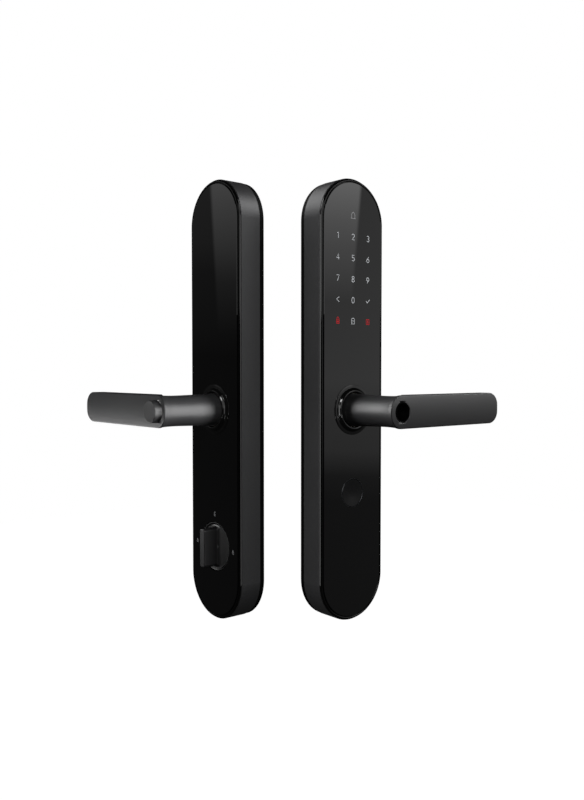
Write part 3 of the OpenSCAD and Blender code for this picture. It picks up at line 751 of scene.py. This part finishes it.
# %% Cylinder and button
key_back = back_of("key_cylinder")
cylinder = turned("key_cylinder_housing", [
    (3, key_back), (cylinder_half, key_back), (cylinder_half, handle_front - 0.35),
    (cylinder_half - 0.3, handle_front - 0.05), (cylinder_half - 0.75, handle_front - 0.05),
    (cylinder_half - 1.0, handle_front - 0.3), (cylinder_half - 1.0, handle_front - 10),
    (6.1, handle_front - 10), (6.1, key_back + 1), (3, key_back + 1)], closed=True)
dress(cylinder, finishes["cylinder_black"])
fit(cylinder, "key_cylinder")
button_front = (inside_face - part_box("safety_button")[0].x) / mm
button_back = (inside_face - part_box("safety_button")[1].x) / mm
button = turned("safety_button_cap", [
    (0, button_back), (3, button_back), (3, handle_front - 5.2), (6.6, handle_front - 5.2),
    (6.6, handle_front - 9), (button_half, handle_front - 9),
    (button_half, button_front - 0.6), (button_half - 0.06, button_front - 0.32),
    (button_half - 0.2, button_front - 0.12), (button_half - 0.45, button_front),
    (button_half - 0.7, button_front), (button_half - 1.2, button_front - 0.15),
    (0, button_front - 0.15)])
dress(button, finishes["handle_coating"])
fit(stand_inside(button), "safety_button")
print("button front", round(button_front, 2))

# %% [markdown]
# ## Fingerprint reader
# A thin grey ring frames a coated window, and the window is very slightly dished so that a
# fingertip finds it.

# %% Reader
reader_front = front_of("fingerprint_ring")
reader_back = back_of("fingerprint_ring")
window_half = half_across("fingerprint_sensor")
reader_ring = turned("fingerprint_ring_frame", [
    (reader_half - 0.5, reader_back), (reader_half, reader_back),
    (reader_half, reader_front - 0.15), (reader_half - 0.15, reader_front),
    (reader_half - 0.35, reader_front), (reader_half - 0.5, reader_front - 0.15)],
    centre=(0, reader_z), closed=True)
dress(reader_ring, finishes["ring_grey"])
fit(reader_ring, "fingerprint_ring")
window_front = front_of("fingerprint_sensor")
window = turned("fingerprint_window", [
    (0, back_of("fingerprint_sensor")), (window_half, back_of("fingerprint_sensor")),
    (window_half, window_front - 0.2), (window_half - 0.2, window_front),
    (window_half - 3, window_front - 0.12), (window_half - 7, window_front - 0.3),
    (0, window_front - 0.35)], centre=(0, reader_z))
dress(window, finishes["sensor_black"])
fit(window, "fingerprint_sensor")
print("reader at", reader_z)

# %% [markdown]
# ## Thumb turn
# The disc is a shallow dish, and its sloping wall catches the light as a crescent. The grip is
# a block whose corners are rounded, whose base flares out to the disc, and whose edges are
# softened, so that its outline reads against the dark disc.

# %% Thumb turn
disc_front = glass_front - 0.25
disc = turned("thumb_turn_dish", [
    (0, disc_front - 1.6), (turn_half, disc_front - 1.6), (turn_half, disc_front - 0.2),
    (turn_half - 0.2, disc_front), (turn_half - 0.7, disc_front),
    (turn_half - 1.2, disc_front - 0.3), (turn_half - 1.9, disc_front - 0.85),
    (turn_half - 2.6, disc_front - 0.95), (0, disc_front - 0.95)], centre=(0, turn_z))
dress(disc, surface("satin_black_zinc", "#0c0c0d", "#101011", (0.3, 0.36), grain=0.6,
                   depth=0.004))
fit(stand_inside(disc), "thumb_turn_disc")
grip_low, grip_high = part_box("thumb_turn_grip")
grip_half_wide = (grip_high.y - grip_low.y) / 2 / mm
grip_half_tall = (grip_high.z - grip_low.z) / 2 / mm
grip_front = (inside_face - grip_low.x) / mm
grip = box_block("thumb_turn_blade", (-grip_half_wide + 0.7, grip_half_wide - 0.7),
                 (disc_front + 1.0, grip_front),
                 (turn_z - grip_half_tall + 0.7, turn_z + grip_half_tall - 0.7))
pick(grip, "EDGE", out_of_door)
bpy.ops.mesh.bevel(offset=2.2 * mm, segments=6, affect="EDGES")
pick_back(grip)
wide = grip_half_wide - 0.7
for flare, drop in ((0.1, 0.6), (0.25, 0.5), (0.38, 0.38), (0.5, 0.25), (0.6, 0.1)):
    bpy.ops.mesh.extrude_region_move(TRANSFORM_OT_translate={"value": (0, drop * mm, 0)})
    bpy.ops.transform.resize(value=(1 + flare / wide, 1, 1 + flare / grip_half_tall))
bpy.ops.mesh.extrude_region_move(TRANSFORM_OT_translate={"value": (0, 0.5 * mm, 0)})
pick(grip, "EDGE", lambda edge: sharp_at(edge, grip_front))
bpy.ops.mesh.bevel(offset=0.9 * mm, segments=4, affect="EDGES")
bpy.ops.object.mode_set(mode="OBJECT")
close(grip)
soften(grip, 0, angle=40)
dress(grip, finishes["turn_grey"])
fit(stand_inside(grip), "thumb_turn_grip")
print("thumb turn at", turn_z)

# %% [markdown]
# ## Key legends
# The digits and the white and red signs shine through windows in the black print behind the
# glass.
# The grey signs, the bell and the marks round the thumb turn, are print with no light behind
# them;
# their glow is painted light that makes them read brighter. All are drawn as strokes of one
# width, because that is how a thin sign typeface is built: a line of points becomes a curve, the
# curve gets a round section, and the result is pressed flat.

# %% Strokes
LEGEND_FRONT = glass_front + 0.02
legend_white = surface("backlit_white_print", "#a4a6a8", "#b4b6b8", (0.5, 0.6), grain=2)
legend_red = surface("backlit_red_print", "#6a0810", "#7a0c16", (0.5, 0.6), grain=2)
painted_glow_grey_legend = surface("grey_print_painted_glow", "#5c5c5d", "#68686a", (0.5, 0.6), grain=2)
# the grey print has no lamp behind it, so its emission is a painted glow that makes it read
# brighter
for print_colour, colour, glow in ((legend_white, "#d8dce0", 0.62), (legend_red, "#c8101e", 0.6),
                                   (painted_glow_grey_legend, "#88888a", 0.85)):
    lamp = print_colour.node_tree.nodes["Principled BSDF"]
    lamp.inputs["Emission Color"].default_value = paint(colour)
    lamp.inputs["Emission Strength"].default_value = glow


def arc(x, z, wide, tall, start, end, count=10):
    """Points along part of an oval; angles in degrees from +x, counterclockwise."""
    turns = [math.radians(start + (end - start) * share / count) for share in range(count + 1)]
    return [(x + wide * math.cos(turn), z + tall * math.sin(turn)) for turn in turns]


def stroke(points, centre, width, closed=False):
    """One flat stroke on the glass through these points, in mm from its centre."""
    line = drawn_line("stroke", [(centre[0] + x, LEGEND_FRONT, centre[1] + z)
                                 for x, z in points], closed)
    take(line)
    bpy.ops.object.convert(target="CURVE")
    line.data.bevel_depth = width / 2 * mm
    line.data.bevel_resolution = 1
    line.data.use_fill_caps = True
    bpy.ops.object.convert(target="MESH")
    pick(line, "VERT", whole)
    bpy.ops.transform.resize(value=(1, 0.05, 1),
                             center_override=(0, -LEGEND_FRONT * mm, 0))
    close(line)
    return line


def legend(name, strokes, material, body):
    """Joins strokes to one piece that rides on a unit."""
    take(*strokes)
    bpy.ops.object.join()
    piece = settle(bpy.context.object, name)
    dress(piece, material)
    if body == "inside_unit":
        stand_inside(piece)
    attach(piece, body)
    print(name, len(piece.data.polygons), "faces")
    return piece


# %% [markdown]
# Each digit is about 5 mm tall and 3 mm wide, in strokes of half a millimetre. The keys stand
# in a grid, with the bell above it.

# %% Digits
KEY_STEP_X = 16.8
KEY_STEP_Z = 17.0
bell_z = unit_top - 30
rows = [bell_z - KEY_STEP_Z * row for row in range(6)]
columns = [-KEY_STEP_X, 0, KEY_STEP_X]
STROKE = 0.52
DIGITS = {
    "0": [(arc(0, 0, 1.4, 2.3, 0, 351, 24), True)],
    "1": [([(-0.8, 1.6), (0.4, 2.3), (0.4, -2.3)], False)],
    "2": [(arc(0, 1.0, 1.35, 1.3, 165, -35, 12) + [(-1.35, -2.3), (1.45, -2.3)], False)],
    "3": [(arc(0, 1.15, 1.2, 1.15, 150, -90, 12), False),
          (arc(0, -1.1, 1.35, 1.2, 90, -150, 12), False)],
    "4": [([(0.7, -2.3), (0.7, 2.3), (-1.5, -1.05), (1.5, -1.05)], False)],
    "5": [([(1.2, 2.3), (-0.9, 2.3), (-1.1, 0.3)] + arc(-0.05, -0.9, 1.4, 1.4, 125, -140, 14),
           False)],
    "6": [(arc(0, -0.95, 1.35, 1.35, 0, 351, 20), True), ([(-1.15, -0.3), (0.8, 2.3)], False)],
    "7": [([(-1.35, 2.3), (1.35, 2.3), (-0.5, -2.3)], False)],
    "8": [(arc(0, 1.2, 1.1, 1.1, 0, 351, 20), True),
          (arc(0, -1.1, 1.35, 1.2, 0, 351, 20), True)],
    "9": [(arc(0, 0.95, 1.35, 1.35, 0, 351, 20), True), ([(1.15, 0.3), (-0.8, -2.3)], False)],
}
digit_strokes = []
for digit, paths in DIGITS.items():
    number = int(digit)
    column = 1 if number == 0 else (number - 1) % 3
    row = 4 if number == 0 else (number - 1) // 3 + 1
    for points, closed in paths:
        digit_strokes.append(stroke(points, (columns[column], rows[row]), STROKE, closed))
legend("keypad_digits", digit_strokes, legend_white, "outside_unit")

# %% Signs
def sign(column, row, *paths):
    """The strokes of one key's sign; a path is its points, its width and whether it closes."""
    return [stroke(points, (columns[column], rows[row]), width, closed)
            for points, width, closed in paths]


# the grey bell glows with painted light
legend("keypad_bell", sign(
    1, 0, ([(-1.8, -1.9)] + arc(0, 0.6, 1.8, 2.1, 180, 0, 12) + [(1.8, -1.9)], 0.5, False),
    ([(-2.6, -2.1), (2.6, -2.1)], 0.5, False), ([(-0.4, 3.0), (0.4, 3.0)], 0.4, False)),
    painted_glow_grey_legend, "outside_unit")
back_sign = sign(0, 4, ([(1.5, 2.0), (-1.5, 0), (1.5, -2.0)], 0.56, False))
tick = sign(2, 4, ([(-1.9, 0), (-0.5, -1.5), (2.1, 1.4)], 0.56, False))
house = sign(
    1, 5, ([(-1.6, -2.2), (-1.6, 1.0)] + arc(0, 1.0, 1.6, 1.5, 180, 0, 8)
           + [(1.6, -2.2)], 0.5, True), ([(-0.6, 0.9), (0.6, 0.0), (-0.6, -0.9)], 0.45, False))
legend("keypad_signs", back_sign + tick + house, legend_white, "outside_unit")
lock_sign = sign(0, 5, ([(-1.4, -2.3), (1.4, -2.3), (1.4, 0.5), (-1.4, 0.5)], 0.8, True),
                 ([(-0.7, -1.2), (0.7, -1.2), (0.7, -0.6), (-0.7, -0.6)], 0.8, True),
                 (arc(0, 0.8, 1.1, 2.0, 180, 0, 8), 0.6, False))
alarm_sign = sign(2, 5, ([(-1.6, -2.1), (1.6, -2.1), (1.6, 1.9), (-1.6, 1.9)], 0.8, True),
                  ([(0, 1.1), (0, -1.2)], 0.8, False))
legend("keypad_red_signs", lock_sign + alarm_sign, legend_red, "outside_unit")

# %% Signs round the thumb turn
def small_padlock(centre, lift, open_side):
    """A tiny padlock: a body and a shackle that is closed, lifted or swung open."""
    body = stroke([(-0.9, -1.3), (0.9, -1.3), (0.9, 0.1), (-0.9, 0.1)], centre, 0.35, True)
    shackle = stroke([(-0.6, 0.1), (-0.6, 0.5 + lift)] + arc(0, 0.6 + lift, 0.6, 0.7, 180, 0, 6)
                     + [(0.6, 0.5 + lift if open_side else 0.1)], centre, 0.3)
    return [body, shackle]


turn_signs = (small_padlock((-turn_half - 5.5, turn_z + 1), 0.0, False)
              + small_padlock((0, turn_z + turn_half + 6.5), 0.7, True)
              + small_padlock((turn_half + 5.5, turn_z - 1), 0.3, True))
# the grey padlock marks glow with painted light
legend("thumb_turn_signs", turn_signs, painted_glow_grey_legend, "inside_unit")

# %% [markdown]
# ## Floor and background
# A product like this is shown on plain white. The world is white only where the camera looks
# straight at it; for reflections it is nearly black, so that the black glass stays black. A
# pale floor lies well below the lock and is kept out of the reflections for the same reason.

# %% Floor and world
bpy.ops.object.select_all(action="DESELECT")
bpy.ops.mesh.primitive_plane_add(size=12, location=(0, 0, -1.2))
floor = bpy.context.object
floor.name = "floor"
pale = bpy.data.materials.new("pale_floor")
pale.use_nodes = True
floor_shader = pale.node_tree.nodes["Principled BSDF"]
floor_shader.inputs["Base Color"].default_value = paint("#f4f4f4")
floor_shader.inputs["Roughness"].default_value = 0.9
floor_shader.inputs["Emission Color"].default_value = paint("#ffffff")
floor_shader.inputs["Emission Strength"].default_value = 1.0
floor.data.materials.append(pale)
floor.visible_glossy = floor.visible_diffuse = floor.visible_shadow = False

world = bpy.data.worlds.new("white_surround")
bpy.context.scene.world = world
world.use_nodes = True
sky = world.node_tree.nodes["Background"]
straight_look = add(world, "LightPath").outputs["Is Camera Ray"]
brightness = add(world, "MapRange", {"Value": straight_look, "To Min": 0.02, "To Max": 1.0})
sky.inputs["Color"].default_value = (1, 1, 1, 1)
world.node_tree.links.new(brightness.outputs["Result"], sky.inputs["Strength"])
print("floor at", round(floor.location.z, 2))

# %% [markdown]
# ## Reflection cards
# Glass shows what stands where its mirror line points. So a photographer stands a card there,
# bright at the top and fading down, and its upright edge draws a slanting line across the
# glass. The card's place follows from the camera: the camera is mirrored in the glass, and
# the line from there through a point on the glass meets the card where that point looks.

# %% Cards
CARD_FAR = 1.6


def beyond(mirror_camera, glass_point, card_middle, card_facing):
    """Where the line from the mirrored camera through the glass meets the card."""
    ray = glass_point - mirror_camera
    reach = (card_middle - mirror_camera).dot(card_facing) / ray.dot(card_facing)
    return mirror_camera + ray * reach


def card(name, glass_middle, glass_facing, edge_top, edge_foot, steady, extra, flip):
    """A glowing card for one glass. Steady and extra are (height in m, strength) stops."""
    in_front = (CAMERA_PLACE - glass_middle).dot(glass_facing)
    mirror_camera = CAMERA_PLACE - 2 * in_front * glass_facing
    ray = glass_middle - mirror_camera
    facing = Vector((ray.x, ray.y, 0)).normalized()
    middle = glass_middle + facing * CARD_FAR
    across = Vector((0, 0, 1)).cross(facing)
    bpy.ops.object.select_all(action="DESELECT")
    bpy.ops.mesh.primitive_plane_add(
        size=1, location=(middle.x, middle.y, 0),
        rotation=(math.pi / 2, 0, math.atan2(across.y, across.x)))
    board = bpy.context.object
    board.name = name
    board.scale = (1.1, 1.5, 1)
    bpy.ops.object.transform_apply(location=False, rotation=False, scale=True)
    ends = [beyond(mirror_camera, point, middle, facing) - middle
            for point in (edge_top, edge_foot)]
    (top_x, top_z), (foot_x, foot_z) = [(end.dot(across), end.z + middle.z) for end in ends]
    slant = (top_x - foot_x) / (top_z - foot_z)
    glow = bpy.data.materials.new(name + "_glow")
    glow.use_nodes = True
    glow.node_tree.nodes.clear()
    place = add(glow, "SeparateXYZ", {0: add(glow, "TexCoord").outputs["Object"]})
    lean = add(glow, "Math", {0: place.outputs["Y"], 1: -slant, 2: place.outputs["X"]},
               operation="MULTIPLY_ADD").outputs["Value"]
    edge_at = foot_x - slant * foot_z
    side = add(glow, "MapRange", {
        "Value": lean, "From Min": edge_at - 0.004 * flip, "From Max": edge_at + 0.004 * flip})
    strengths = []
    for stops in (steady, extra):
        low, high = stops[0][0], stops[-1][0]
        height = add(glow, "MapRange", {"Value": place.outputs["Y"], "From Min": low,
                                        "From Max": high}).outputs["Result"]
        peak = max(strength for _, strength in stops)
        fade = add(glow, "FloatCurve", {"Value": height})
        curve = fade.mapping.curves[0]
        for z, strength in stops[1:-1]:
            curve.points.new((z - low) / (high - low), strength / peak)
        curve.points[0].location = (0, stops[0][1] / peak)
        curve.points[-1].location = (1, stops[-1][1] / peak)
        for point in curve.points:
            point.handle_type = "VECTOR"
        fade.mapping.update()
        strengths.append(add(glow, "Math", {0: fade.outputs["Value"], 1: peak},
                             operation="MULTIPLY").outputs["Value"])
    total = add(glow, "Math", {0: strengths[1], 1: side.outputs["Result"], 2: strengths[0]},
                operation="MULTIPLY_ADD").outputs["Value"]
    emitted = add(glow, "Emission", {"Strength": total}).outputs["Emission"]
    add(glow, "OutputMaterial", {"Surface": emitted})
    board.data.materials.append(glow)
    board.visible_camera = board.visible_shadow = False
    print(name, "stands at", [round(side, 2) for side in middle])
    return board


outside_middle = Vector((0, -glass_front, 0)) * mm
inside_glass = Vector((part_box("inside_panel")[0].x, inside_middle, 0))
card("right_card", outside_middle, Vector((0, -1, 0)),
     outside_middle + Vector((8.4, 0, 180)) * mm, outside_middle + Vector((-1.6, 0, 85)) * mm,
     [(-0.70, 0.1), (-0.33, 0.11), (-0.26, 0.16), (-0.19, 0.42), (-0.1, 0.48), (0.0, 0.66),
      (0.25, 0.6), (0.6, 0.52)],
     [(0.22, 0.0), (0.30, 0.3), (0.37, 0.55), (0.44, 0.92), (0.50, 1.4), (0.56, 1.9)], -1)
card("left_card", inside_glass, Vector((-1, 0, 0)),
     inside_glass + Vector((0, 4, 180)) * mm, inside_glass + Vector((0, -5, 75)) * mm,
     [(0.07, 0.04), (0.15, 0.06), (0.22, 0.07), (0.30, 0.08), (0.38, 0.13), (0.56, 0.16)],
     [(0.13, 0.0), (0.2, 0.03), (0.27, 0.07), (0.34, 0.17), (0.40, 0.27), (0.47, 0.4),
      (0.56, 0.6)], 1)

# %% [markdown]
# ## Softboxes
# Each unit, each lever, the neck rings and the thumb turn have softboxes of their own, linked
# to their pieces only, as a photographer lights the parts of a still life one after the
# other. A softbox is an area light placed by its compass direction and its height above the
# horizon. Tall boxes draw long highlights along the necks, and high boxes roll light over the
# shoulders of the bands.

# %% Sets of pieces
LIT_TOGETHER = {
    "outside_unit_set": ("outside_unit",),
    "outside_lever_set": ("outside_lever", "key_rotor", "spindle_drive", "clutch_slider",
                          "clutch_bolt"),
    "inside_unit_set": ("inside_unit",),
    "thumb_turn_set": ("thumb_turn",),
    "inside_lever_set": ("inside_lever", "release_button"),
}
lit = {name: bpy.data.collections.new(name) for name in LIT_TOGETHER}
for piece in bpy.context.scene.objects:
    for name, bodies in LIT_TOGETHER.items():
        if piece.type == "MESH" and piece.get("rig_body") in bodies:
            lit[name].objects.link(piece)
lit["rings_set"] = bpy.data.collections.new("rings_set")
for piece in lit["outside_unit_set"].objects[:] + lit["inside_unit_set"].objects[:]:
    if piece.name.endswith("neck_ring"):
        lit["rings_set"].objects.link(piece)
for name in ("outside_lever_set", "inside_lever_set", "thumb_turn_set"):
    for piece in lit[name].objects:
        piece.visible_glossy = False  # handles and turn cast no mirror image into the glass


# %% Softbox
def softbox(name, compass, climb, far, wide, tall, power, only):
    """An area light; compass 0 is in front of the keypad and 90 is to its right."""
    turn, rise = math.radians(compass), math.radians(climb)
    out = Vector((math.sin(turn) * math.cos(rise), -math.cos(turn) * math.cos(rise),
                  math.sin(rise)))
    aim = Vector((-0.03, 0.02, 0))
    bpy.ops.object.light_add(type="AREA", location=aim + out * far)
    light = bpy.context.object
    light.name = name
    light.data.shape = "RECTANGLE"
    light.data.size, light.data.size_y = wide, tall
    light.data.energy = power
    light.rotation_mode = "QUATERNION"
    light.rotation_quaternion = out.to_track_quat("Z", "Y")
    light.visible_camera = False
    light.light_linking.receiver_collection = lit[only]
    return light


# %% Softboxes in place
# name: compass and climb in degrees, distance, width and height in m, power in W
SOFTBOXES = {
    "outside_unit_set": {
        "outside_key_box": (-40, 25, 1.5, 1.0, 1.0, 5),
        "outside_side_box": (270, 0, 1.5, 1.2, 1.2, 11),
        "outside_crest_box": (190, 38, 1.5, 1.0, 0.7, 7),
        "outside_shoulder_box": (240, 45, 1.5, 0.8, 0.6, 9),
    },
    "outside_lever_set": {
        "outside_neck_box": (235, 22, 1.2, 0.4, 1.2, 24),
        "outside_face_box": (52, 25, 1.4, 1.0, 0.4, 10),
        "outside_lever_key": (-40, 25, 1.5, 1.0, 1.0, 4),
    },
    "rings_set": {
        "outside_ring_glint": (285, -24, 1.3, 0.16, 0.16, 2),
        "inside_ring_glint": (-12, -20, 1.3, 0.16, 0.16, 2),
        "ring_glow": (-70, 45, 1.3, 0.5, 0.3, 6),
    },
    "thumb_turn_set": {
        "turn_front_box": (222, 6, 1.4, 0.7, 0.7, 7),
        "turn_side_box": (10, 10, 1.4, 0.9, 0.9, 9),
        "turn_key_box": (-40, 25, 1.5, 1.0, 1.0, 6),
    },
    "inside_unit_set": {
        "inside_key_box": (-40, 25, 1.5, 1.0, 1.0, 3),
        "inside_side_box": (0, 0, 1.5, 1.2, 1.2, 6.5),
        "inside_crest_box": (62, 36, 1.5, 0.9, 0.8, 11),
        "inside_shoulder_box": (30, 45, 1.5, 0.8, 0.6, 6),
    },
    "inside_lever_set": {
        "inside_neck_box": (30, 2, 1.2, 0.5, 1.5, 31),
        "inside_face_box": (200, -22, 1.4, 0.6, 0.5, 7.5),
        "inside_fill_box": (250, 0, 1.4, 0.8, 0.6, 4.5),
        "inside_lever_key": (-40, 25, 1.5, 1.0, 1.0, 11),
    },
}
for group_name, boxes in SOFTBOXES.items():
    for name, values in boxes.items():
        softbox(name, *values, group_name)
